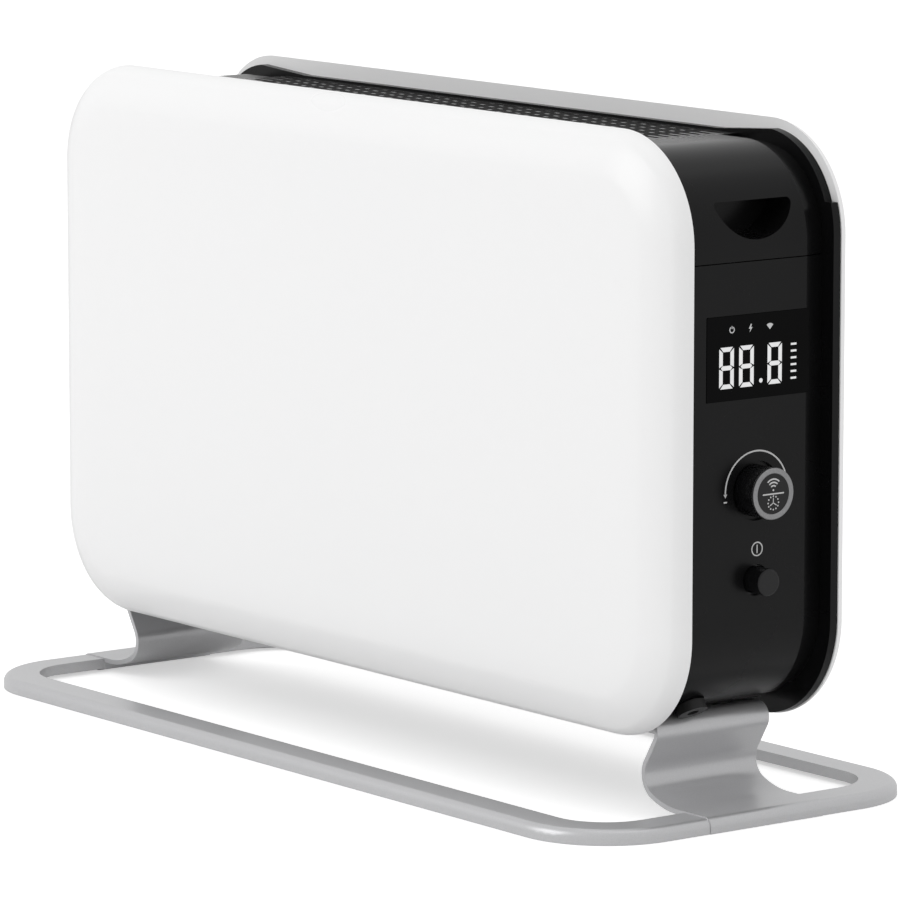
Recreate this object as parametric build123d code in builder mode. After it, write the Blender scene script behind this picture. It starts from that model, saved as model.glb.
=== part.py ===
from build123d import *
from math import cos, radians, sin
import os

# Free-standing convector heater on a loop stand.
# Millimetres. X runs along the length, towards the control end, Y to the back and Z up.
# The origin is on the floor under the middle of the stand.

# Panels
body_length = 626.0
body_bottom = 48.0
body_height = 352.5
panel_corner = 64.0
front_face = -70.3
front_rim = -49.2
front_wall = 1.2
front_roll = 56.0
front_power = 4.0
front_stations = 7
rear_rim = 60.5
rear_face = 67.5
rear_wall = 1.5
rear_roll = 8.0
rear_power = 2.0
rear_stations = 4

# Core between the panels
core_inset_side = 8.0
core_inset_top = 11.0
core_inset_bottom = 11.5
core_corner = 56.0
core_front = -46.0
core_rear = 55.0
cover_wall = 2.5
bevel_run = 14.0
bevel_drop = 3.0
frame_width = 6.0
front_frame_depth = 12.0
seam_gap = 0.6
fit_gap = 0.3

# Rear frame, whose outline stands back from the rear panel's edge in three steps
frame_edge_low = 0.7
frame_edge_high = 5.6
shoulder_drop = 44.5
frame_depth = 10.0
dip_drop = 9.5
dip_inset = 106.0
dip_run = 55.0

# Shields and the studs that carry the panels
shield_wall = 1.2
front_shield_face = -56.0
rear_shield_face = 60.0
stud_radius = 4.0
stud_pitch_x = 200.0
stud_pitch_z = 220.0

# Top grille
grip_cover_length = 79.0
grille_wall = 3.0
grille_border = 4.0
slot_width = 2.3
slot_length = 23.5
slot_pitch_x = 27.6
slot_pitch_y = 3.9

# Bottom chassis with its air intake
chassis_wall = 3.0
intake_width = 7.0
intake_length = 38.0
intake_pitch_x = 46.0
intake_pitch_y = 15.0
intake_columns = 8
intake_rows = 5

# End covers
seam_drop = 74.5
grip_width = 59.0
grip_drop = 40.2
grip_height = 22.2
grip_depth = 26.0
grip_corner = 2.5
grip_wall = 2.0

# Display
window_width = 75.5
window_height = 48.7
window_drop = 129.3
window_proud = 0.3
window_wall = 3.0
window_gap = 0.2
window_corner = 1.0
display_depth = 7.0
display_leg_radius = 1.5

# Rotary knob
knob_drop = 207.7
knob_radius = 15.0
knob_proud = 15.5
knob_ring_inner = 11.75
knob_ring_wall = 2.0
knob_cap_drop = 0.4
knob_wall = 2.0
knob_hub_radius = 5.0
dish_radius = 17.5
dish_depth = 2.6
dish_wall = 2.0
knob_travel = 0.8
shaft_radius = 3.0
shaft_fit = 0.06
shaft_chamfer = 0.5
encoder_side = 14.0
encoder_depth = 8.0
bushing_radius = 4.5
plunger_radius = 2.5
plunger_wall = 1.0

# Power button
button_drop = 259.8
button_radius = 8.0
button_round = 1.0
button_hole_radius = 9.3
button_proud = 12.0
button_travel = 2.5
button_collar_radius = 10.4
button_collar_wall = 1.5
stem_radius = 2.0
stem_gap = 0.3
switch_side = 15.0
switch_depth = 8.5

# Control board, carried by posts of the cover
board_wall = 1.6
board_inset = 19.4
board_half_width = 37.0
board_under_button = 14.7
board_over_window = 30.8
post_radius = 3.0

# Cord gland in the front of the control end's lower corner, square to its curve, its bore left empty
gland_tilt = 30.0
gland_y = -21.0
gland_radius = 9.0
gland_neck_radius = 7.0
gland_bore = 3.6
gland_reach = 6.0
gland_nut_seat = 3.6
gland_nut_wall = 2.0

# Slot in the underside beside the foot
foot_slot_length = 27.0
foot_slot_width = 7.0
foot_slot_inset = 33.0
foot_slot_y = 30.0
foot_slot_depth = 9.0

# Heating element and what stands round it
element_gap = 26.0
element_lift = 65.5
element_hub = 9.0
fin_count = 8
fin_reach = 30.0
fin_wall = 2.0
pin_radius = 5.0
pin_length = 14.0
bracket_wall = 1.5
bracket_half_width = 26.0
bracket_foot = 18.0
bracket_head = 16.0
partition_inset = 10.0
partition_wall = 1.2
cutout_radius = 9.0
cutout_wall = 9.0
board_standoff = 8.0
power_board_height = 130.0
power_board_width = 76.0
relay_side = 22.0
relay_depth = 16.0
tilt_side = 20.0
tilt_height = 26.0
tilt_y = 30.0
terminal_length = 40.0
terminal_width = 16.0
terminal_height = 18.0

# Stand: two bent tubes joined by the two feet
stand_overhang = 8.8
stand_depth = 262.0
stand_corner = 57.0
tube_width = 23.0
tube_height = 8.8
tube_skin = 1.4
tube_outer_round = 4.8
tube_inner_round = 4.2
tube_lift = 2.2
tube_lift_run = 9.0
tube_under_round = 1.9
tube_floor_round = 0.5
socket_step = 0.6
spigot_gap = 0.2
spigot_length = 24.0
foot_width = 84.0
foot_plate = 3.0
foot_tuck_inset = 83.0
foot_crown_inset = 40.5
foot_crown_radius = 7.5
foot_lean = 31.5
foot_calf = 16.5
foot_heel_radius = 13.5
foot_toe_angle = 25.0
screw_pitch = 50.0
screw_inset = 69.0
screw_head_radius = 4.2
screw_head_wall = 2.2
screw_radius = 2.0
screw_gap = 0.15

# What follows from them
body_top = body_bottom + body_height
body_middle = body_bottom + body_height / 2
core_half = body_length / 2 - core_inset_side
core_bottom = body_bottom + core_inset_bottom
core_top = body_top - core_inset_top
core_middle = (core_bottom + core_top) / 2
core_height = core_top - core_bottom
core_depth = core_rear - core_front
core_centre_y = (core_front + core_rear) / 2
cover_inside = core_half - cover_wall
controls_y = core_centre_y
dish_floor = core_half - dish_depth
grille_half_length = core_half - grip_cover_length
frame_shoulder = body_top - shoulder_drop
dip_floor = body_top - dip_drop
dip_half_floor = body_length / 2 - dip_inset
dip_half_mouth = dip_half_floor + dip_run
grip_seam = body_top - seam_drop
grip_top = body_top - grip_drop
window_middle = body_top - window_drop
knob_height = body_top - knob_drop
button_height = body_top - button_drop
knob_face = core_half + knob_proud
button_face = core_half + button_proud
board_face = core_half - board_inset
board_bottom = button_height - board_under_button
board_top = window_middle + board_over_window
knob_back = dish_floor + knob_travel + fit_gap
knob_front_wall = knob_face - knob_ring_wall
gland_back = -(gland_nut_seat + gland_nut_wall)
foot_slot_x = core_half - foot_slot_inset
screw_x = core_half - screw_inset
stand_half = body_length / 2 + stand_overhang
foot_tuck_start = core_half - foot_tuck_inset
foot_crown_x = core_half - foot_crown_inset
tuck_height = core_bottom - foot_plate / 2
chassis_half_length = core_half - core_corner
chassis_top = core_bottom + chassis_wall
foot_edge = foot_width / 2
partition_x = grille_half_length - partition_inset
element_half_length = partition_x - element_gap
element_height = chassis_top + element_lift


def upright(y):
    """Sketch plane across the body at a depth y; local axes are X and Z."""
    return Plane.XZ.offset(-y)


def endwise(x):
    """Sketch plane square to the length at x; local axes are Y and Z."""
    return Plane.YZ.offset(x)


def panel_face(inset):
    """Outline shared by both panels, drawn in by inset."""
    with Locations((0, body_middle)):
        RectangleRounded(body_length - 2 * inset, body_height - 2 * inset, panel_corner - inset)


def core_face(inset):
    """Outline of the core, drawn in by inset."""
    with Locations((0, core_middle)):
        RectangleRounded(2 * (core_half - inset), core_height - 2 * inset, core_corner - inset)


def pressed_dish(rim, face, roll, power, stations, wall):
    """A panel's form as a solid, its edge rolled from rim to face, or its inside when wall is given."""
    outward = 1 if face > rim else -1
    with BuildPart() as dish:
        for station in range(stations + 1):
            turn = radians(90 * station / stations)
            inset = roll * (1 - cos(turn) ** (2 / power)) + wall * cos(turn)
            depth = (abs(face - rim) - wall) * sin(turn)
            with BuildSketch(upright(rim + outward * depth)):
                panel_face(inset)
        loft(ruled=True)
    return dish.part


def panel_studs(y_from, y_to):
    """The studs welded inside a panel, between two depths."""
    with BuildPart() as studs:
        with BuildSketch(upright(y_from)):
            with Locations((0, body_middle)):
                with GridLocations(stud_pitch_x, stud_pitch_z, 3, 2):
                    Circle(stud_radius)
        extrude(amount=-(y_to - y_from))
    return studs.part


def core_block(inset):
    """The core's form as a solid: straight sides, with a shallow bevel towards the rear."""
    with BuildPart() as block:
        with BuildSketch(upright(core_front)):
            core_face(inset)
        extrude(amount=-(core_depth - bevel_run))
        with BuildSketch(upright(core_rear - bevel_run)):
            core_face(inset)
        with BuildSketch(upright(core_rear)):
            core_face(inset + bevel_drop)
        loft(ruled=True)
    return block.part


def cover_stretch(x_from, z_from, z_to):
    """The core's wall beyond x_from, between two heights."""
    with BuildPart() as stretch:
        add(core_outside)
        add(core_hollow, mode=Mode.SUBTRACT)
        with BuildSketch(upright(core_front)):
            with Locations((x_from, z_from)):
                Rectangle(core_half, z_to - z_from, align=(Align.MIN, Align.MIN))
        extrude(amount=-core_depth, mode=Mode.INTERSECT)
    return stretch.part


def half_moon(x, margin):
    """Finger grip's outline on a plane at x, enlarged by margin: a flat top over one round arc."""
    half = grip_width / 2
    with BuildSketch(endwise(x)) as moon:
        with BuildLine():
            Line((controls_y - half, grip_top), (controls_y + half, grip_top))
            ThreePointArc(
                (controls_y + half, grip_top),
                (controls_y, grip_top - grip_height),
                (controls_y - half, grip_top),
            )
        make_face()
        fillet(moon.vertices(), grip_corner)
        if margin:
            offset(amount=margin)
    return moon.sketch


def tube_face(grow):
    """Section of the stand's tube at its right-hand side, grown all round by grow."""
    inner = stand_half - tube_width
    with BuildSketch(upright(-foot_edge)) as section:
        with BuildLine():
            Polyline(
                (stand_half, 0),
                (stand_half, tube_height),
                (inner, tube_height),
                (inner, tube_lift),
                (inner + tube_lift_run, 0),
                close=True,
            )
        make_face()
        if grow:
            offset(amount=grow, kind=Kind.INTERSECTION)
        corners = section.vertices().sort_by(lambda corner: (round(corner.X), corner.Y))
        under, inner_top, _, floor_edge, outer_top = corners
        fillet(outer_top, tube_outer_round + grow)
        fillet(inner_top, tube_inner_round + grow)
        fillet(under, max(tube_under_round + grow, tube_floor_round))
        fillet(floor_edge, tube_floor_round)
    return section.sketch


def corner_plane(tilt, y):
    """Plane on the core's lower right corner, its normal leaning out from straight down by tilt."""
    across, down = sin(radians(tilt)), cos(radians(tilt))
    return Plane(
        origin=(core_half - core_corner * (1 - across), y, core_bottom + core_corner * (1 - down)),
        x_dir=(0, 1, 0),
        z_dir=(across, 0, -down),
    )


core_outside = core_block(0)
core_hollow = core_block(cover_wall)
gland_plane = corner_plane(gland_tilt, gland_y)

# Front panel: one pressed sheet with a soft rolled edge and six welded studs
front_outside = pressed_dish(front_rim, front_face, front_roll, front_power, front_stations, 0)
front_inside = pressed_dish(front_rim, front_face, front_roll, front_power, front_stations, front_wall)
front_studs = panel_studs(front_face + front_wall / 2, front_shield_face)
with BuildPart() as front_panel:
    add(front_outside)
    add(front_inside, mode=Mode.SUBTRACT)
    add(front_studs)
front_panel.part.label = "front_panel"

# Rear panel: a shallower pressed sheet with a tight roll
rear_outside = pressed_dish(rear_rim, rear_face, rear_roll, rear_power, rear_stations, 0)
rear_inside = pressed_dish(rear_rim, rear_face, rear_roll, rear_power, rear_stations, rear_wall)
rear_studs = panel_studs(rear_shield_face, rear_face - rear_wall / 2)
with BuildPart() as rear_panel:
    add(rear_outside)
    add(rear_inside, mode=Mode.SUBTRACT)
    add(rear_studs)
rear_panel.part.label = "rear_panel"

# Core frames: the moulded rings that the panels' backs close over
with BuildPart() as front_frame:
    with BuildSketch(upright(core_front - front_frame_depth)):
        core_face(0)
        with Locations((0, core_middle)):
            RectangleRounded(
                2 * (core_half - frame_width),
                core_height - 2 * frame_width,
                core_corner - frame_width,
                mode=Mode.SUBTRACT,
            )
    extrude(amount=-front_frame_depth)
front_frame.part.label = "front_frame"

with BuildPart() as low_flange:
    with BuildSketch(upright(core_rear)):
        panel_face(frame_edge_low)
    extrude(amount=-(rear_rim - core_rear - fit_gap))
    with BuildSketch(Plane.XY.offset(frame_shoulder)):
        Rectangle(body_length, 2 * rear_face)
    extrude(amount=body_top, mode=Mode.SUBTRACT)

with BuildPart() as rear_frame:
    with BuildSketch(upright(core_rear)):
        panel_face(frame_edge_high)
    extrude(amount=-frame_depth)
    add(low_flange.part)
    with BuildSketch(upright(core_rear)):
        with BuildLine():
            Polyline(
                (-dip_half_mouth, body_top - frame_edge_high),
                (-dip_half_floor, dip_floor),
                (dip_half_floor, dip_floor),
                (dip_half_mouth, body_top - frame_edge_high),
                (dip_half_mouth, body_top),
                (-dip_half_mouth, body_top),
                close=True,
            )
        make_face()
        core_face(frame_width)
    extrude(amount=-frame_depth, mode=Mode.SUBTRACT)
rear_frame.part.label = "rear_frame"

# Heat shields: flat sheets inside the frames, which the panels' studs are screwed to
with BuildPart() as front_shield:
    with BuildSketch(upright(front_shield_face)):
        core_face(frame_width + fit_gap)
    extrude(amount=-shield_wall)
front_shield.part.label = "front_shield"

with BuildPart() as rear_shield:
    with BuildSketch(upright(rear_shield_face - shield_wall)):
        core_face(frame_width + fit_gap)
    extrude(amount=-shield_wall)
rear_shield.part.label = "rear_shield"

# Top grille: a moulded plate with rows of slots, every other row shifted by half a slot
grille_rows = int((core_depth - 2 * grille_border) / slot_pitch_y)
grille_columns = int(2 * (grille_half_length - grille_border) / slot_pitch_x)
with BuildPart() as top_grille:
    with BuildSketch(Plane.XY.offset(core_top - grille_wall)):
        with Locations((0, core_centre_y)):
            Rectangle(2 * grille_half_length, core_depth)
        for row in range(grille_rows):
            row_y = core_centre_y + (row - (grille_rows - 1) / 2) * slot_pitch_y
            shifted = row % 2
            with Locations((0, row_y)):
                with GridLocations(slot_pitch_x, slot_pitch_y, grille_columns - shifted, 1):
                    Rectangle(slot_length, slot_width, mode=Mode.SUBTRACT)
    extrude(amount=grille_wall)
top_grille.part.label = "top_grille"

# Bottom chassis: the plate that the feet, the brackets and the controls' bay stand on
with BuildPart() as bottom_chassis:
    with BuildSketch(Plane.XY.offset(core_bottom)):
        with Locations((0, core_centre_y)):
            Rectangle(2 * (chassis_half_length - fit_gap), core_depth)
            with GridLocations(intake_pitch_x, intake_pitch_y, intake_columns, intake_rows):
                Rectangle(intake_length, intake_width, mode=Mode.SUBTRACT)
        with GridLocations(2 * screw_x, screw_pitch, 2, 2):
            Circle(screw_radius + screw_gap, mode=Mode.SUBTRACT)
    extrude(amount=chassis_wall)
bottom_chassis.part.label = "bottom_chassis"

# Upper end cover with its finger grip
grip_back = core_half - grip_depth
with BuildPart() as right_grip_cover:
    add(cover_stretch(grille_half_length + fit_gap, grip_seam + seam_gap / 2, body_top))
    extrude(half_moon(grip_back - grip_wall, grip_wall), amount=core_half - grip_back)
    add(core_outside, mode=Mode.INTERSECT)
    extrude(half_moon(grip_back, 0), amount=grip_depth + grip_wall, mode=Mode.SUBTRACT)
right_grip_cover.part.label = "right_grip_cover"

# Lower end cover: plain on the left, with the controls' openings on the right
with BuildPart() as plain_cover:
    add(cover_stretch(chassis_half_length, 0, grip_seam - seam_gap / 2))
    with BuildSketch(Plane.XY.offset(core_bottom)):
        with Locations((foot_slot_x, foot_slot_y)):
            SlotOverall(foot_slot_length, foot_slot_width, rotation=90)
    extrude(amount=foot_slot_depth + cover_wall, mode=Mode.SUBTRACT)

with BuildPart() as right_control_cover:
    add(plain_cover.part)
    with BuildSketch(endwise(dish_floor - dish_wall)):
        with Locations((controls_y, knob_height)):
            Circle(dish_radius + dish_wall)
    extrude(amount=core_half - dish_floor + dish_wall)
    with BuildSketch(endwise(dish_floor)):
        with Locations((controls_y, knob_height)):
            Circle(dish_radius)
    extrude(amount=dish_depth, mode=Mode.SUBTRACT)
    with BuildSketch(endwise(cover_inside - dish_depth)):
        with Locations((controls_y, knob_height)):
            Circle(bushing_radius + fit_gap)
        with Locations((controls_y, button_height)):
            Circle(button_hole_radius)
        with Locations((controls_y, window_middle)):
            Rectangle(window_width + 2 * window_gap, window_height + 2 * window_gap)
    extrude(amount=core_half, mode=Mode.SUBTRACT)
    with BuildSketch(endwise(board_face)):
        with Locations((controls_y, (board_bottom + board_top) / 2)):
            with GridLocations(
                2 * (board_half_width - post_radius),
                board_top - board_bottom - 2 * post_radius,
                2,
                2,
            ):
                Circle(post_radius)
    extrude(amount=cover_inside - board_face)
    with BuildSketch(gland_plane.offset(gland_back)):
        Circle(gland_neck_radius + fit_gap)
    extrude(amount=gland_reach - gland_back, mode=Mode.SUBTRACT)
right_control_cover.part.label = "right_control_cover"

left_grip_cover = mirror(right_grip_cover.part, about=Plane.YZ)
left_grip_cover.label = "left_grip_cover"
left_end_cover = mirror(plain_cover.part, about=Plane.YZ)
left_end_cover.label = "left_end_cover"

# Display: a smoked window in the cover, with the lit module behind it
with BuildPart() as display_window:
    with BuildSketch(endwise(core_half + window_proud - window_wall)):
        with Locations((controls_y, window_middle)):
            Rectangle(window_width, window_height)
    extrude(amount=window_wall)
    fillet(display_window.edges().filter_by(Axis.X), window_corner)
display_window.part.label = "display_window"

display_front = core_half + window_proud - window_wall - fit_gap
with BuildPart() as display_module:
    with BuildSketch(endwise(display_front - display_depth)):
        with Locations((controls_y, window_middle)):
            Rectangle(window_width - 2 * display_leg_radius, window_height - 2 * display_leg_radius)
    extrude(amount=display_depth)
    with BuildSketch(endwise(board_face)):
        with Locations((controls_y, window_middle)):
            with GridLocations(window_width / 2, window_height / 2, 2, 2):
                Circle(display_leg_radius)
    extrude(amount=display_front - display_depth - board_face)
display_module.part.label = "display_module"

with BuildPart() as control_board:
    with BuildSketch(endwise(board_face - board_wall)):
        with Locations((controls_y, (board_bottom + board_top) / 2)):
            Rectangle(2 * board_half_width, board_top - board_bottom)
    extrude(amount=board_wall)
control_board.part.label = "control_board"

# Rotary control: an encoder on the board, its push plunger, the shaft and the knob
knob_axis = Axis((0, controls_y, knob_height), (1, 0, 0))
plunger_back = board_face + plunger_wall + fit_gap + knob_travel
shaft_back = plunger_back + plunger_wall + fit_gap
shaft_front = knob_front_wall - knob_wall - knob_cap_drop
with BuildPart() as encoder:
    with BuildSketch(endwise(board_face)):
        with Locations((controls_y, knob_height)):
            Rectangle(encoder_side, encoder_side)
    extrude(amount=encoder_depth)
    with BuildSketch(endwise(board_face + encoder_depth)):
        with Locations((controls_y, knob_height)):
            Circle(bushing_radius)
    extrude(amount=dish_floor - board_face - encoder_depth)
    with BuildSketch(endwise(board_face + plunger_wall)):
        with Locations((controls_y, knob_height)):
            Circle(shaft_radius + shaft_fit)
    extrude(amount=core_half, mode=Mode.SUBTRACT)
encoder.part.label = "encoder"

with BuildPart() as encoder_plunger:
    with BuildSketch(endwise(plunger_back)):
        with Locations((controls_y, knob_height)):
            Circle(plunger_radius)
    extrude(amount=plunger_wall)
encoder_plunger.part.label = "encoder_plunger"

with BuildPart() as knob_shaft:
    with BuildSketch(endwise(shaft_back)):
        with Locations((controls_y, knob_height)):
            Circle(shaft_radius)
    extrude(amount=shaft_front - shaft_back)
    chamfer(knob_shaft.edges().filter_by(GeomType.CIRCLE), shaft_chamfer)
knob_shaft.part.label = "knob_shaft"

with BuildPart() as knob_body:
    with BuildSketch(upright(controls_y)):
        with Locations((knob_back, knob_height)):
            Rectangle(knob_front_wall - knob_back, knob_radius, align=(Align.MIN, Align.MIN))
            Rectangle(
                knob_front_wall - knob_wall - knob_back,
                knob_radius - knob_wall,
                align=(Align.MIN, Align.MIN),
                mode=Mode.SUBTRACT,
            )
            Rectangle(knob_front_wall - knob_back, knob_hub_radius, align=(Align.MIN, Align.MIN))
            Rectangle(
                shaft_front - knob_back + fit_gap,
                shaft_radius + shaft_fit,
                align=(Align.MIN, Align.MIN),
                mode=Mode.SUBTRACT,
            )
    revolve(axis=knob_axis)
knob_body.part.label = "knob_body"

with BuildPart() as knob_ring:
    with BuildSketch(endwise(knob_front_wall)):
        with Locations((controls_y, knob_height)):
            Circle(knob_radius)
            Circle(knob_ring_inner, mode=Mode.SUBTRACT)
    extrude(amount=knob_ring_wall)
    chamfer(knob_ring.faces().sort_by(Axis.X)[-1].edges(), knob_cap_drop)
knob_ring.part.label = "knob_ring"

with BuildPart() as knob_cap:
    with BuildSketch(endwise(knob_front_wall)):
        with Locations((controls_y, knob_height)):
            Circle(knob_ring_inner - shaft_fit)
    extrude(amount=knob_ring_wall - knob_cap_drop)
knob_cap.part.label = "knob_cap"

# Power button: a round push cap whose collar stays behind the cover, over a switch on the board
with BuildPart() as power_button:
    with BuildSketch(endwise(cover_inside - fit_gap - button_collar_wall)):
        with Locations((controls_y, button_height)):
            Circle(button_collar_radius)
    extrude(amount=button_collar_wall)
    with BuildSketch(endwise(cover_inside - fit_gap)):
        with Locations((controls_y, button_height)):
            Circle(button_radius)
    extrude(amount=button_face - cover_inside + fit_gap)
    fillet(power_button.faces().sort_by(Axis.X)[-1].edges(), button_round)
    with BuildSketch(endwise(board_face + plunger_wall + button_travel + fit_gap)):
        with Locations((controls_y, button_height)):
            Circle(stem_radius)
    extrude(amount=cover_inside - fit_gap - board_face - plunger_wall - button_travel - fit_gap)
power_button.part.label = "power_button"

with BuildPart() as power_switch:
    with BuildSketch(endwise(board_face)):
        with Locations((controls_y, button_height)):
            Rectangle(switch_side, switch_side)
    extrude(amount=switch_depth)
    with BuildSketch(endwise(board_face + plunger_wall)):
        with Locations((controls_y, button_height)):
            Circle(stem_radius + stem_gap)
    extrude(amount=switch_depth, mode=Mode.SUBTRACT)
power_switch.part.label = "power_switch"

# Cord gland: a round bushing with a rim outside and a nut inside
with BuildPart() as cable_gland:
    with BuildSketch(gland_plane.offset(fit_gap)):
        Circle(gland_radius)
    extrude(amount=gland_reach - fit_gap)
    with BuildSketch(gland_plane.offset(gland_back)):
        RegularPolygon(gland_radius, 6)
    extrude(amount=gland_nut_wall)
    with BuildSketch(gland_plane.offset(gland_back)):
        Circle(gland_neck_radius)
    extrude(amount=gland_reach - gland_back)
    with BuildSketch(gland_plane.offset(gland_back)):
        Circle(gland_bore)
    extrude(amount=gland_reach - gland_back, mode=Mode.SUBTRACT)
cable_gland.part.label = "cable_gland"

# Heating element: an extruded hub with radial fins, a pin at each end
element_tip = element_half_length + pin_length
with BuildPart() as heating_element:
    with BuildSketch(endwise(-element_half_length)):
        with Locations((core_centre_y, element_height)):
            Circle(element_hub)
            with PolarLocations(0, fin_count):
                Rectangle(element_hub + fin_reach, fin_wall, align=(Align.MIN, Align.CENTER))
    extrude(amount=2 * element_half_length)
    with BuildSketch(endwise(-element_tip)):
        with Locations((core_centre_y, element_height)):
            Circle(pin_radius)
    extrude(amount=2 * element_tip)
heating_element.part.label = "heating_element"

bracket_top = element_height + element_hub + fin_reach + bracket_head + cutout_radius
with BuildPart() as right_bracket:
    with BuildSketch(endwise(element_half_length + bracket_wall)):
        with Locations((core_centre_y, chassis_top)):
            Rectangle(2 * bracket_half_width, bracket_top - chassis_top, align=(Align.CENTER, Align.MIN))
        with Locations((core_centre_y, element_height)):
            Circle(pin_radius + shaft_fit, mode=Mode.SUBTRACT)
    extrude(amount=bracket_wall)
    with BuildSketch(Plane.XY.offset(chassis_top)):
        with Locations((element_half_length + bracket_wall, core_centre_y)):
            Rectangle(bracket_foot, 2 * bracket_half_width, align=(Align.MIN, Align.CENTER))
    extrude(amount=bracket_wall)
left_bracket = mirror(right_bracket.part, about=Plane.YZ)
element_brackets = Compound(label="element_brackets", children=[right_bracket.part, left_bracket])

with BuildPart() as thermal_cutout:
    with BuildSketch(endwise(element_half_length + bracket_wall - cutout_wall)):
        with Locations((core_centre_y, bracket_top - cutout_radius)):
            Circle(cutout_radius)
    extrude(amount=cutout_wall)
thermal_cutout.part.label = "thermal_cutout"

# Bay for the power electronics, parted from the warm side by a sheet
with BuildPart() as bay_partition:
    with BuildSketch(endwise(partition_x)):
        with Locations((core_centre_y, chassis_top)):
            Rectangle(core_depth, core_top - grille_wall - chassis_top, align=(Align.CENTER, Align.MIN))
    extrude(amount=partition_wall)
bay_partition.part.label = "bay_partition"

bay_wall = partition_x + partition_wall
with BuildPart() as power_board:
    with BuildSketch(endwise(bay_wall + board_standoff)):
        with Locations((core_centre_y, body_middle)):
            Rectangle(power_board_width, power_board_height)
    extrude(amount=board_wall)
    with BuildSketch(endwise(bay_wall)):
        with Locations((core_centre_y, body_middle)):
            with GridLocations(
                power_board_width - 2 * board_standoff,
                power_board_height - 2 * board_standoff,
                2,
                2,
            ):
                Circle(post_radius)
    extrude(amount=board_standoff)
power_board.part.label = "power_board"

with BuildPart() as relay:
    with BuildSketch(endwise(bay_wall + board_standoff + board_wall)):
        with Locations((core_centre_y, body_middle)):
            Rectangle(relay_side, relay_side)
    extrude(amount=relay_depth)
relay.part.label = "relay"

with BuildPart() as tip_over_switch:
    with BuildSketch(Plane.XY.offset(chassis_top)):
        with Locations((bay_wall + tilt_side / 2 + seam_gap, tilt_y)):
            Rectangle(tilt_side, tilt_side)
    extrude(amount=tilt_height)
tip_over_switch.part.label = "tip_over_switch"

with BuildPart() as terminal_block:
    with BuildSketch(Plane.XY.offset(chassis_top)):
        with Locations((bay_wall + terminal_width / 2 + seam_gap, -screw_pitch / 2)):
            Rectangle(terminal_width, terminal_length)
    extrude(amount=terminal_height)
terminal_block.part.label = "terminal_block"

# Stand tubes: a flattened steel tube bent into a U, and its mirror image
tube_line = stand_half - tube_width / 2
tube_turn = stand_corner - tube_width / 2
tube_reach = stand_depth / 2 - tube_width / 2
with BuildPart() as front_stand_tube:
    with BuildLine() as bend:
        FilletPolyline(
            (tube_line, -foot_edge),
            (tube_line, -tube_reach),
            (-tube_line, -tube_reach),
            (-tube_line, -foot_edge),
            radius=tube_turn,
        )
    sweep(tube_face(0), path=bend.wire())
    sweep(tube_face(-tube_skin), path=bend.wire(), mode=Mode.SUBTRACT)
front_stand_tube.part.label = "front_stand_tube"
rear_stand_tube = mirror(front_stand_tube.part, about=Plane.XZ)
rear_stand_tube.label = "rear_stand_tube"

# Feet: a bent plate running out into a socket, with a spigot inside each tube end
with BuildPart() as right_foot:
    with BuildLine(Plane.XZ) as shin:
        tuck = Line((foot_tuck_start, tuck_height), (foot_crown_x, tuck_height))
        crown = JernArc(tuck @ 1, tuck % 1, foot_crown_radius, -(90 + foot_lean))
        calf = PolarLine(crown @ 1, foot_calf, direction=crown % 1)
        heel = JernArc(calf @ 1, calf % 1, foot_heel_radius, 90 + foot_lean - foot_toe_angle)
        toe_drop = (heel @ 1).Z - (tube_height + socket_step - foot_plate / 2)
        toe = JernArc(
            heel @ 1,
            heel % 1,
            toe_drop / (1 - cos(radians(foot_toe_angle))),
            foot_toe_angle,
        )
        Line(toe @ 1, Vector(tube_line, 0, (toe @ 1).Z))
    with BuildSketch(endwise(foot_tuck_start)):
        with Locations((0, tuck_height)):
            Rectangle(foot_width, foot_plate)
    sweep(path=shin.wire())
    extrude(tube_face(socket_step), amount=-foot_width)
    with BuildSketch(Plane.XY.offset(-tube_height)):
        Rectangle(4 * stand_half, foot_width)
    extrude(amount=tube_height, mode=Mode.SUBTRACT)
    with BuildSketch(Plane.XY.offset(tuck_height - foot_plate)):
        with Locations((screw_x, 0)):
            with GridLocations(0, screw_pitch, 1, 2):
                Circle(screw_radius + screw_gap)
    extrude(amount=2 * foot_plate, mode=Mode.SUBTRACT)
    extrude(tube_face(-tube_skin - spigot_gap), amount=spigot_length)
    extrude(tube_face(-tube_skin - spigot_gap), amount=-(foot_width + spigot_length))
right_foot.part.label = "right_foot"
left_foot = mirror(right_foot.part, about=Plane.YZ)
left_foot.label = "left_foot"

with BuildPart() as foot_screws:
    with BuildSketch(Plane.XY.offset(core_bottom - foot_plate - screw_head_wall)):
        with GridLocations(2 * screw_x, screw_pitch, 2, 2):
            Circle(screw_head_radius)
    extrude(amount=screw_head_wall)
    with BuildSketch(Plane.XY.offset(core_bottom - foot_plate)):
        with GridLocations(2 * screw_x, screw_pitch, 2, 2):
            Circle(screw_radius)
    extrude(amount=foot_plate + chassis_wall)
foot_screws.part.label = "foot_screws"

pieces = [
    front_panel.part,
    rear_panel.part,
    front_frame.part,
    rear_frame.part,
    front_shield.part,
    rear_shield.part,
    top_grille.part,
    bottom_chassis.part,
    right_grip_cover.part,
    right_control_cover.part,
    left_grip_cover,
    left_end_cover,
    display_window.part,
    display_module.part,
    control_board.part,
    encoder.part,
    encoder_plunger.part,
    knob_shaft.part,
    knob_body.part,
    knob_ring.part,
    knob_cap.part,
    power_button.part,
    power_switch.part,
    cable_gland.part,
    heating_element.part,
    element_brackets,
    thermal_cutout.part,
    bay_partition.part,
    power_board.part,
    relay.part,
    tip_over_switch.part,
    terminal_block.part,
    front_stand_tube.part,
    rear_stand_tube,
    right_foot.part,
    left_foot,
    foot_screws.part,
]
os.makedirs("parts", exist_ok=True)
for piece in pieces:
    export_step(piece, f"parts/{piece.label}.step")
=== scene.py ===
import math

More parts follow.
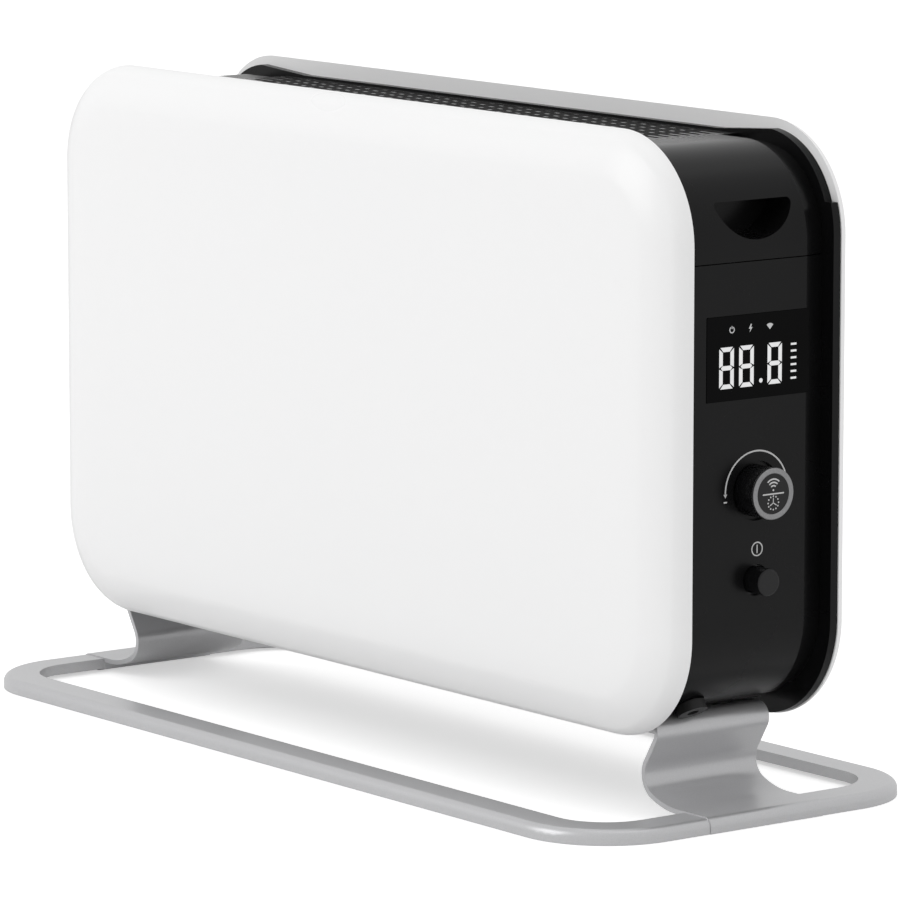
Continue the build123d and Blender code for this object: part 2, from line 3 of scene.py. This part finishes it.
import bmesh
import bpy
from mathutils import Matrix, Vector


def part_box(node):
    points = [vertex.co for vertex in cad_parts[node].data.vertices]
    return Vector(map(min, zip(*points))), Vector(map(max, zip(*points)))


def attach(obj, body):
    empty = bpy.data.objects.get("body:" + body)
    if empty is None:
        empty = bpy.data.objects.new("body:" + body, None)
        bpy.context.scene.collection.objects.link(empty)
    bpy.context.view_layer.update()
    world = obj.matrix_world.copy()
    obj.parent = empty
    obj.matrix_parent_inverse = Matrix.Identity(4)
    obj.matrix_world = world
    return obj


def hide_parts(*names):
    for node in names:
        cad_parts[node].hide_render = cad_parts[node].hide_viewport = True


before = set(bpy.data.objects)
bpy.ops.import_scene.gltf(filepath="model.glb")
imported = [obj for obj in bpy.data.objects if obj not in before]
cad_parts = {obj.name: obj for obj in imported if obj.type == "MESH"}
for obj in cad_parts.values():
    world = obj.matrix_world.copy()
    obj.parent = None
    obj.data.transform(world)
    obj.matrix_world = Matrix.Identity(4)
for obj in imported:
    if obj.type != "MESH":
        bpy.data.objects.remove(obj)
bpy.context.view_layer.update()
mm = 0.001

# Front panel: one pressed steel sheet, its edge rolled back softly on all sides, with a smooth white
# powder coat. Six studs welded inside hold it to the shield behind.
body_length = 626.0 * mm
body_height = 352.5 * mm
body_bottom = 48.0 * mm
panel_corner = 64.0 * mm
corner_steps = 24
front_rim = -49.2 * mm
front_face = -70.3 * mm
front_roll = 56.0 * mm
front_power = 4.0
front_wall = 1.2 * mm
front_shield_face = -56.0 * mm
face_steps = 18
face_rings = 14
edge_turn = 36
edge_turn_step = 6
nearly_flat = 89.9999
stud_across = 200.0 * mm
stud_up = 110.0 * mm
stud_radius = 4.0 * mm
stud_sides = 24
sharp_edge = math.radians(32)


class Value:
    """A colour or number that varies over a surface; arithmetic on it adds the nodes it needs."""

    def __init__(self, finish, socket):
        self.finish = finish
        self.socket = socket

    def with_other(self, operation, first, second):
        return self.finish.node("Math", {"operation": operation}, {0: first, 1: second})

    def __add__(self, other):
        return self.with_other("ADD", self, other)

    def __radd__(self, other):
        return self.with_other("ADD", other, self)

    def __sub__(self, other):
        return self.with_other("SUBTRACT", self, other)

    def __rsub__(self, other):
        return self.with_other("SUBTRACT", other, self)

    def __mul__(self, other):
        return self.with_other("MULTIPLY", self, other)

    def __rmul__(self, other):
        return self.with_other("MULTIPLY", other, self)


class Finish:
    """One surface finish, built up node by node."""

    def __init__(self, name, **constants):
        self.material = bpy.data.materials.new(name)
        self.material.use_nodes = True
        self.tree = self.material.node_tree
        self.surface = self.tree.nodes["Principled BSDF"]
        for socket, number in constants.items():
            self.surface.inputs[socket.replace("_", " ")].default_value = number

    def node(self, kind, settings=None, sockets=None, out=0):
        """Any node, given its type, its settings and what its sockets hold."""
        made = self.tree.nodes.new("ShaderNode" + kind)
        for name, setting in (settings or {}).items():
            setattr(made, name, setting)
        for name, content in (sockets or {}).items():
            self.feed(made.inputs[name], content)
        return Value(self, made.outputs[out])

    def feed(self, socket, content):
        if isinstance(content, Value):
            self.tree.links.new(content.socket, socket)
        else:
            socket.default_value = content

    def place(self, stretch=(1, 1, 1)):
        """The surface's own position in metres, stretched along each axis."""
        where = self.node("TexCoord", out="Object")
        return self.node("Mapping", {}, {"Vector": where, "Scale": stretch})

    def mottle(self, size, detail=3.0, stretch=(1, 1, 1)):
        """Soft random spots of about that size in metres, from 0 to 1."""
        return self.node(
            "TexNoise", {}, {"Vector": self.place(stretch), "Scale": 1 / size, "Detail": detail}
        )

    def blend(self, share, dark, light):
        """A colour between two others."""
        made = self.tree.nodes.new("ShaderNodeMix")
        made.data_type = "RGBA"
        self.feed(made.inputs[0], share)
        for number, content in ((6, dark), (7, light)):
            if not isinstance(content, Value):
                content = (*content, 1)
            self.feed(made.inputs[number], content)
        return Value(self, made.outputs[2])

    def relief(self, height, depth):
        """Raises the surface by height, which runs from 0 to 1, times depth in metres."""
        return self.node("Bump", {}, {"Height": height, "Distance": depth, "Strength": 1.0})

    def finish(self, colour, roughness, normal=None):
        self.feed(self.surface.inputs["Base Color"], colour)
        self.feed(self.surface.inputs["Roughness"], roughness)
        if normal:
            self.feed(self.surface.inputs["Normal"], normal)
        return self.material


def powder_coat(name, dark, light):
    """Smooth satin paint with a faint orange peel and a slightly uneven gloss."""
    cloud_size = 0.3
    peel_size = 0.0035
    coat = Finish(name, Specular_IOR_Level=0.45)
    cloud = coat.mottle(cloud_size, 1.0)
    peel = coat.mottle(peel_size, 2.0)
    return coat.finish(
        coat.blend(cloud, dark, light),
        cloud * 0.05 + 0.26,
        coat.relief(peel, 0.00001),
    )


def paint(piece, material):
    """Gives a piece its finish, with soft shading that stops at real edges."""
    piece.data.materials.clear()
    piece.data.materials.append(material)
    piece.data.polygons.foreach_set("use_smooth", [True] * len(piece.data.polygons))
    piece.data.polygons.foreach_set("material_index", [0] * len(piece.data.polygons))
    piece.data.set_sharp_from_angle(angle=sharp_edge)
    piece.data.update()


def solid_from(name, shape):
    """A new piece from a filled bmesh."""
    bmesh.ops.recalc_face_normals(shape, faces=shape.faces)
    mesh = bpy.data.meshes.new(name)
    shape.to_mesh(mesh)
    shape.free()
    piece = bpy.data.objects.new(name, mesh)
    bpy.context.scene.collection.objects.link(piece)
    return piece


def panel_outline(inset, y):
    """Points round the panel's outline at a depth, drawn in by inset."""
    radius = max(panel_corner - inset, 0.0005)
    across = body_length / 2 - panel_corner
    up = body_height / 2 - panel_corner
    middle = body_bottom + body_height / 2
    points = []
    for corner, (side_x, side_z) in enumerate(((1, 1), (-1, 1), (-1, -1), (1, -1))):
        for step in range(corner_steps + 1):
            turn = math.radians(90 * (corner + step / corner_steps))
            x = side_x * across + radius * math.cos(turn)
            z = middle + side_z * up + radius * math.sin(turn)
            points.append(Vector((x, y, z)))
    return points


def skin(shape, rings):
    """Faces between rings of points, closed at the first and last ring."""
    rows = [[shape.verts.new(point) for point in ring] for ring in rings]
    for low, high in zip(rows, rows[1:]):
        for number in range(len(low)):
            following = (number + 1) % len(low)
            shape.faces.new((low[number], low[following], high[following], high[number]))
    shape.faces.new(rows[0])
    shape.faces.new(rows[-1])


def rolled_rings(rim, face, roll, power, wall, hem=0.0):
    """Rings of the panel's skin, from the middle of its face to its rim, at a wall's distance inside
    and behind a hem at the rim."""
    outward = 1 if face > rim else -1
    face_shares = [step / face_steps for step in range(1, face_rings + 1)]
    turns = [math.degrees(math.acos(share**power)) for share in face_shares]
    turns += range(0, edge_turn + 1, edge_turn_step)
    turns.append(nearly_flat)
    rings = []
    for turn in sorted(turns, reverse=True):
        angle = math.radians(turn)
        inset = roll * (1 - math.cos(angle) ** (2 / power)) + wall * math.cos(angle)
        inset = max(inset, hem)
        depth = (abs(face - rim) - wall) * math.sin(angle)
        rings.append(panel_outline(inset, rim + outward * depth))
    return rings


def stud(shape, x, z, y_from, y_to):
    """A round stud across the body."""
    turned = Matrix.Rotation(math.radians(90), 4, "X")
    bmesh.ops.create_cone(
        shape,
        cap_ends=True,
        segments=stud_sides,
        radius1=stud_radius,
        radius2=stud_radius,
        depth=abs(y_to - y_from),
        matrix=Matrix.Translation((x, (y_from + y_to) / 2, z)) @ turned,
    )


def pressed_panel(name, rim, face, roll, power, wall, hem, stud_end):
    """A panel with both its skins, its folded rim and its studs."""
    shape = bmesh.new()
    outside = rolled_rings(rim, face, roll, power, 0.0)
    inside = rolled_rings(rim, face, roll, power, wall, hem)
    skin(shape, outside + inside[::-1])
    outward = 1 if face > rim else -1
    for x in (-stud_across, 0.0, stud_across):
        for side in (-1, 1):
            z = body_bottom + body_height / 2 + side * stud_up
            stud(shape, x, z, face - outward * wall / 2, stud_end)
    return solid_from(name, shape)


front_skin = pressed_panel(
    "front_panel_sheet",
    front_rim,
    front_face,
    front_roll,
    front_power,
    front_wall,
    front_wall,
    front_shield_face,
)
white_coat = powder_coat("white_powder_coat", (0.885, 0.885, 0.888), (0.9, 0.9, 0.9))
paint(front_skin, white_coat)
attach(front_skin, "body")
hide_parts("front_panel")

# Rear panel: a shallower steel pressing with a tight edge, folded inwards into a broad flat rim and
# coated like the front one. Its studs end at the rear shield.
rear_rim = 60.5 * mm
rear_face = 67.5 * mm
rear_roll = 8.0 * mm
rear_power = 2.0
rear_wall = 1.5 * mm
rear_hem = 16.0 * mm
rear_shield_face = 60.0 * mm
rear_skin = pressed_panel(
    "rear_panel_sheet",
    rear_rim,
    rear_face,
    rear_roll,
    rear_power,
    rear_wall,
    rear_hem,
    rear_shield_face,
)
paint(rear_skin, white_coat)
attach(rear_skin, "body")
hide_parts("rear_panel")


# Core: frames and end covers, moulded in black plastic with a fine satin texture. A straight seam
# parts each grip cover from the cover below it.
mould_grain = 0.0009
mould_depth = 0.00001


def moulded(name, dark, light, roughness, specular=0.3):
    """Plastic from a fine-textured mould, a little shinier here and there from handling."""
    plastic = Finish(name, Specular_IOR_Level=specular)
    cloud = plastic.mottle(0.06, 4.0)
    texture = plastic.mottle(mould_grain, 2.0)
    return plastic.finish(
        plastic.blend(cloud, dark, light),
        cloud * 0.1 + roughness,
        plastic.relief(texture, mould_depth),
    )


def dress(material, *names):
    for name in names:
        paint(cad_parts[name], material)


black_satin = moulded(
    "black_satin_plastic", (0.003, 0.003, 0.0032), (0.005, 0.005, 0.0053), 0.22, specular=0.16
)
dress(
    black_satin,
    "front_frame",
    "rear_frame",
    "right_grip_cover",
    "right_control_cover",
    "left_grip_cover",
    "left_end_cover",
)

# Top grille: one black moulding with rows of slots. It is glossy on the short bridges between the ends
# of the slots, and dull on the bars between the rows and inside the slots.
row_pitch = 3.9 * mm
bar_gloss = 0.06
bridge_edge = 3.0
grille_black = Finish("grille_plastic", Specular_IOR_Level=0.05, Coat_Roughness=0.12)
facing = grille_black.node("NewGeometry", out="Normal")
upward = grille_black.node("SeparateXYZ", {}, {"Vector": facing}, out="Z")
across_rows = grille_black.node("SeparateXYZ", {}, {"Vector": grille_black.place()}, out="Y")
grille_low, grille_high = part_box("top_grille")
middle_row = (grille_low.y + grille_high.y) / 2
row_turn = (across_rows - middle_row) * (2 * math.pi / row_pitch)
row_wave = grille_black.node("Math", {"operation": "COSINE", "use_clamp": True}, {0: row_turn})
bridge = grille_black.node(
    "Math",
    {"operation": "MULTIPLY_ADD", "use_clamp": True},
    {0: row_wave, 1: bridge_edge, 2: bar_gloss},
)
grille_cloud = grille_black.mottle(0.05, 2.0)
grille_black.feed(grille_black.surface.inputs["Coat Weight"], upward * bridge)
grille_black.finish(
    grille_black.blend(grille_cloud, (0.0015, 0.0015, 0.0016), (0.003, 0.003, 0.0032)),
    grille_cloud * 0.1 + 0.4,
)
dress(grille_black.material, "top_grille")

# Cord gland: a moulded rubber bushing pressed through the end cover and locked by a nut inside.
gland_rubber = moulded("gland_rubber", (0.008, 0.008, 0.008), (0.014, 0.014, 0.014), 0.42)
dress(gland_rubber, "cable_gland")

# Control knob: a black moulded body on the encoder's shaft, with a spun metal ring let into its face
# and a glossy cap inside the ring.
knob_black = moulded("knob_plastic", (0.004, 0.004, 0.0045), (0.007, 0.007, 0.0075), 0.22)
dress(knob_black, "knob_body", "knob_cap", "power_button")
ring_metal = Finish("spun_ring_metal", Metallic=1.0)
turned_lines = ring_metal.mottle(0.0012, 4.0)
dress(
    ring_metal.finish(
        ring_metal.blend(turned_lines, (0.2, 0.2, 0.205), (0.34, 0.34, 0.345)),
        turned_lines * 0.16 + 0.3,
        ring_metal.relief(turned_lines, 0.00002),
    ),
    "knob_ring",
)

# Display window: a smoked acrylic pane set into the end cover; its lit signs shine through from behind
# and are drawn as thin inlays on its face.
pane = Finish("smoked_pane", Specular_IOR_Level=0.05)
pane_cloud = pane.mottle(0.05, 2.0)
dress(
    pane.finish(
        pane.blend(pane_cloud, (0.001, 0.001, 0.001), (0.002, 0.002, 0.0022)),
        pane_cloud * 0.04 + 0.06,
    ),
    "display_window",
)
pane_front = 305.3 * mm
inlay = 0.05 * mm


def flat_shapes(name, outlines, x):
    """Thin shapes on the end face at x, each given by its outline as (y, z) points in millimetres."""
    shape = bmesh.new()
    for outline in outlines:
        back = [shape.verts.new((x - inlay, y * mm, z * mm)) for y, z in outline]
        front = [shape.verts.new((x + inlay, y * mm, z * mm)) for y, z in outline]
        shape.faces.new(back)
        shape.faces.new(front)
        for number in range(len(outline)):
            following = (number + 1) % len(outline)
            shape.faces.new((back[number], back[following], front[following], front[number]))
    return solid_from(name, shape)


def round_points(y, z, radius, start=0.0, end=360.0, steps=32):
    """Points on an arc, clockwise from the top as the end face is seen."""
    points = []
    for step in range(steps + 1):
        turn = math.radians(start + (end - start) * step / steps)
        points.append((y + radius * math.sin(turn), z + radius * math.cos(turn)))
    return points


def band(points, width):
    """Quads along a line of points, mitred at each bend, as one outline."""
    left, right = [], []
    for number, (y, z) in enumerate(points):
        before = points[max(number - 1, 0)]
        after = points[min(number + 1, len(points) - 1)]
        run_y, run_z = after[0] - before[0], after[1] - before[1]
        length = math.hypot(run_y, run_z)
        across = (-run_z / length * width / 2, run_y / length * width / 2)
        left.append((y + across[0], z + across[1]))
        right.append((y - across[0], z - across[1]))
    return left + right[::-1]


def dot(y, z, radius):
    return round_points(y, z, radius, steps=23)[:-1]


def seven_segments(low_y, high_y, low_z, high_z, bar=2.6, gap=0.38):
    """All seven bars of a digit, mitred where they meet."""
    middle_z = (low_z + high_z) / 2
    upright_bars = []
    for outer, inner in ((low_y, low_y + bar), (high_y, high_y - bar)):
        for bottom, top, lower_mitre, upper_mitre in (
            (low_z, middle_z, bar, bar / 2),
            (middle_z, high_z, bar / 2, bar),
        ):
            low_lift = gap * 2 if bottom == low_z else gap
            high_lift = gap * 2 if top == high_z else gap
            upright_bars.append(
                [
                    (outer, bottom + low_lift),
                    (inner, bottom + lower_mitre + gap),
                    (inner, top - upper_mitre - gap),
                    (outer, top - high_lift),
                ]
            )
    level_bars = []
    for outer, inner in ((low_z, low_z + bar), (high_z, high_z - bar)):
        level_bars.append(
            [
                (low_y + 2 * gap, outer),
                (high_y - 2 * gap, outer),
                (high_y - bar - gap, inner),
                (low_y + bar + gap, inner),
            ]
        )
    half = bar / 2
    level_bars.append(
        [
            (low_y + 3 * gap, middle_z),
            (low_y + half + 3 * gap, middle_z + half),
            (high_y - half - 3 * gap, middle_z + half),
            (high_y - 3 * gap, middle_z),
            (high_y - half - 3 * gap, middle_z - half),
            (low_y + half + 3 * gap, middle_z - half),
        ]
    )
    return upright_bars + level_bars


def lit(name, strength):
    """Light through the pane from a lamp behind it, a little uneven."""
    glow = Finish(name, Emission_Strength=strength, Specular_IOR_Level=0.2)
    cloud = glow.mottle(0.004, 1.0)
    glow.feed(
        glow.surface.inputs["Emission Color"],
        glow.blend(cloud, (0.86, 0.87, 0.88), (1.0, 1.0, 1.0)),
    )
    return glow.finish((0.02, 0.02, 0.02, 1), 0.3)


lit_white = lit("display_light", 0.8)
lit_dim = lit("display_light_dim", 0.5)
digit_low, digit_high = 253.8, 277.8
digit_widths = ((-24.1, -13.3), (-9.4, 1.5), (11.8, 22.5))
point_y, point_z, point_radius = 6.9, 256.6, 1.3
digits = []
for low_y, high_y in digit_widths:
    digits += seven_segments(low_y, high_y, digit_low, digit_high)
digits.append(dot(point_y, point_z, point_radius))
display_digits = flat_shapes("display_digits", digits, pane_front)

level_count = 6
level_top, level_bottom = 275.8, 256.1
level_start, level_end = 29.2, 33.4
level_width = 1.2
level_marks = []
for number in range(level_count):
    mark_z = level_top + (level_bottom - level_top) * number / (level_count - 1)
    level_marks.append(band([(level_start, mark_z), (level_end, mark_z)], level_width))
display_levels = flat_shapes("display_levels", level_marks, pane_front)

icon_z = 287.5
standby_y, bolt_y, radio_y = -14.8, -0.8, 13.4
standby_radius = 1.65
radio_radius = 3.6
bolt = [(-0.1, 2.4), (-1.5, -0.3), (-0.3, -0.3), (-0.9, -2.4), (1.2, 0.5), (0.1, 0.5), (0.7, 2.4)]
radio_point = (radio_y, icon_z - radio_radius / 2)
icons = [
    band(round_points(standby_y, icon_z, standby_radius, 28, 332, 24), 0.6),
    band([(standby_y, icon_z + 2.2), (standby_y, icon_z + 0.6)], 0.55),
    [(bolt_y + y, icon_z + z) for y, z in bolt],
    [radio_point] + round_points(*radio_point, radio_radius, -42, 42, 12),
]
display_icons = flat_shapes("display_icons", icons, pane_front)
lit_signs = ((display_digits, lit_white), (display_levels, lit_white), (display_icons, lit_dim))
for sign, light in lit_signs:
    paint(sign, light)
    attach(sign, "body")

# Printed signs: pale grey ink on the end cover, an arc that ends in an arrowhead round the knob and a
# ring with an upright bar for power over the button.
ink = Finish("pale_print", Specular_IOR_Level=0.3)
ink_cloud = ink.mottle(0.003, 3.0)
pale_ink = ink.finish(
    ink.blend(ink_cloud, (0.5, 0.5, 0.5), (0.62, 0.62, 0.62)),
    ink_cloud * 0.1 + 0.4,
)
cover_face = 305.0 * mm
knob_y, knob_z = 4.5, 192.8
arc_radius = 23.2
arc_start, arc_end = -91.0, 72.0
arc_width = 0.95
arrow = [(-2.0, 0.4), (2.0, 0.4), (0.0, -3.0)]
arrow_scale = 0.65
end_mark_half = 1.2
end_mark_drop = 4.4
end_mark_width = 0.9
tip_y, tip_z = round_points(knob_y, knob_z, arc_radius, arc_start, arc_start, 1)[0]
end_mark_z = tip_z - end_mark_drop
dial_print = [
    band(round_points(knob_y, knob_z, arc_radius, arc_start, arc_end, 48), arc_width),
    [(tip_y + y * arrow_scale, tip_z + z * arrow_scale) for y, z in arrow],
    band([(tip_y - end_mark_half, end_mark_z), (tip_y + end_mark_half, end_mark_z)], end_mark_width),
]
power_y, power_z = 5.3, 158.7
power_radius = 3.9
power_bar_half = 2.5
power_width = 0.75
power_print = [
    band(round_points(power_y, power_z, power_radius, 0, 360, 40), power_width),
    band([(power_y, power_z - power_bar_half), (power_y, power_z + power_bar_half)], power_width),
]
for name, shapes in (("dial_print", dial_print), ("power_print", power_print)):
    sign = flat_shapes(name, shapes, cover_face)
    paint(sign, pale_ink)
    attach(sign, "body")

# Knob signs: the same ink on the knob's cap, three radio arcs over a dot, a dividing line, and a ring
# of dots round three hands.
cap_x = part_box("knob_cap")[1].x
wave_z = knob_z + 2.4
wave_spread = 44
wave_width = 0.85
waves = []
for radius in (2.4, 4.3, 6.2):
    waves.append(band(round_points(knob_y, wave_z, radius, -wave_spread, wave_spread, 14), wave_width))
waves.append(dot(knob_y, knob_z + 2.2, 0.6))
dial_z = knob_z - 5.2
hand_length = 2.9
hand_width = 0.55
hands = []
for turn in (0, 122, 238):
    reach = round_points(knob_y, dial_z, hand_length, turn, turn, 1)[0]
    hands.append(band([(knob_y, dial_z), reach], hand_width))
dial_radius = 3.9
dial_dot_radius = 0.5
dial_dots = []
for turn in range(0, 360, 30):
    dot_y, dot_z = round_points(knob_y, dial_z, dial_radius, turn, turn, 1)[0]
    dial_dots.append(dot(dot_y, dot_z, dial_dot_radius))
divider_half = 7.9
divider = [band([(knob_y - divider_half, knob_z), (knob_y + divider_half, knob_z)], 0.8)]
knob_signs = flat_shapes("knob_signs", waves + hands + dial_dots + divider, cap_x)
paint(knob_signs, pale_ink)
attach(knob_signs, "knob")

# Stand: flattened steel tubes and bent foot plates, all sprayed in one satin silver lacquer. The feet
# are screwed up into the chassis, and the tubes push onto their spigots.
silver = Finish("silver_lacquer", Metallic=0.55, Specular_IOR_Level=0.5)
flakes = silver.mottle(0.0006, 1.0)
silver_cloud = silver.mottle(0.12, 2.0)
silver_coat = silver.finish(
    silver.blend(flakes, (0.5, 0.5, 0.51), (0.6, 0.6, 0.61)),
    silver_cloud * 0.08 + 0.3,
    silver.relief(flakes, 0.000006),
)
dress(silver_coat, "front_stand_tube", "rear_stand_tube", "right_foot", "left_foot")
screw = Finish("screw_steel", Metallic=1.0)
screw_grain = screw.mottle(0.0008, 3.0)
dress(
    screw.finish(
        screw.blend(screw_grain, (0.4, 0.4, 0.4), (0.5, 0.5, 0.5)),
        screw_grain * 0.15 + 0.25,
        screw.relief(screw_grain, 0.00001),
    ),
    "foot_screws",
)


# Inside: zinc-plated sheet for the shields, brackets and partition, a black chassis plate, an
# extruded aluminium element, green boards, and dark moulded switch bodies.
def rolled_metal(name, dark, light, gloss):
    """Bare or plated metal with faint rolling lines along its length."""
    line_width = 0.0015
    line_stretch = (0.06, 1, 1)
    metal = Finish(name, Metallic=1.0)
    lines = metal.mottle(line_width, 3.0, line_stretch)
    return metal.finish(
        metal.blend(lines, dark, light), lines * 0.14 + gloss, metal.relief(lines, 0.00001)
    )


zinc = rolled_metal("zinc_plate", (0.4, 0.41, 0.42), (0.52, 0.53, 0.54), 0.32)
dress(zinc, "front_shield", "rear_shield", "element_brackets", "bay_partition")
aluminium = rolled_metal("element_aluminium", (0.5, 0.5, 0.51), (0.62, 0.62, 0.63), 0.3)
dress(aluminium, "heating_element")
nickel = rolled_metal("nickel_plate", (0.5, 0.5, 0.49), (0.6, 0.6, 0.58), 0.22)
dress(nickel, "encoder", "knob_shaft")
black_steel = moulded("black_steel_coat", (0.012, 0.012, 0.012), (0.02, 0.02, 0.02), 0.45)
dress(black_steel, "bottom_chassis")
module_black = moulded("module_plastic", (0.014, 0.014, 0.015), (0.022, 0.022, 0.024), 0.46)
dress(
    module_black,
    "display_module",
    "encoder_plunger",
    "power_switch",
    "thermal_cutout",
    "relay",
    "tip_over_switch",
)
terminal_white = moulded("terminal_plastic", (0.6, 0.6, 0.56), (0.68, 0.68, 0.64), 0.4)
dress(terminal_white, "terminal_block")
board_green = moulded("board_lacquer", (0.01, 0.06, 0.025), (0.015, 0.09, 0.035), 0.24)
dress(board_green, "control_board", "power_board")

# Studio: a wide pale floor, one broad soft lamp before the front panel and one overhead, and the camera
# low beside the control end.
floor_half = 40.0
floor_drop = 0.2 * mm
floor_shape = bmesh.new()
bmesh.ops.create_grid(floor_shape, x_segments=1, y_segments=1, size=floor_half)
floor = solid_from("studio_floor", floor_shape)
floor.location = (0, 0, -floor_drop)
floor_finish = Finish("studio_floor", Specular_IOR_Level=0.0)
floor_cloud = floor_finish.mottle(1.2, 1.0)
floor_finish.finish(floor_finish.blend(floor_cloud, (0.8, 0.8, 0.8), (0.82, 0.82, 0.82)), 0.9)
camera_rays = floor_finish.node("LightPath", out="Is Camera Ray")
glossy_rays = floor_finish.node("LightPath", out="Is Glossy Ray")
floor_glow = camera_rays * 0.5 + glossy_rays * 0.12
floor_finish.feed(floor_finish.surface.inputs["Emission Color"], (1, 1, 1, 1))
floor_finish.feed(floor_finish.surface.inputs["Emission Strength"], floor_glow)
floor.data.materials.append(floor_finish.material)

world_light = 0.84
world = bpy.data.worlds.new("studio")
bpy.context.scene.world = world
world.use_nodes = True
background = world.node_tree.nodes["Background"]
background.inputs["Color"].default_value = (1, 1, 1, 1)
background.inputs["Strength"].default_value = world_light


lamp_aim = Vector((0, 0, 0.2))


def soft_lamp(name, place, size, power):
    """A square panel lamp that points at the heater's middle."""
    lamp = bpy.data.lights.new(name, "AREA")
    lamp.shape = "SQUARE"
    lamp.size = size
    lamp.energy = power
    holder = bpy.data.objects.new(name, lamp)
    holder.location = place
    holder.rotation_euler = (lamp_aim - Vector(place)).to_track_quat("-Z", "Y").to_euler()
    bpy.context.scene.collection.objects.link(holder)


soft_lamp("front_lamp", (-1.2, -3.4, 2.2), 2.6, 38)
soft_lamp("top_lamp", (0.4, 0.6, 3.2), 2.4, 7)

camera_place = (2.993665, -2.252005, 0.7584625)
camera_dip = 8.79
camera_turn = 52.87
lens = bpy.data.cameras.new("camera")
lens.sensor_width = 36
lens.lens = 247.16
camera = bpy.data.objects.new("camera", lens)
camera.location = camera_place
camera.rotation_euler = (math.radians(90 - camera_dip), 0, math.radians(camera_turn))
bpy.context.scene.collection.objects.link(camera)
bpy.context.scene.camera = camera
bpy.context.scene.view_settings.view_transform = "Standard"
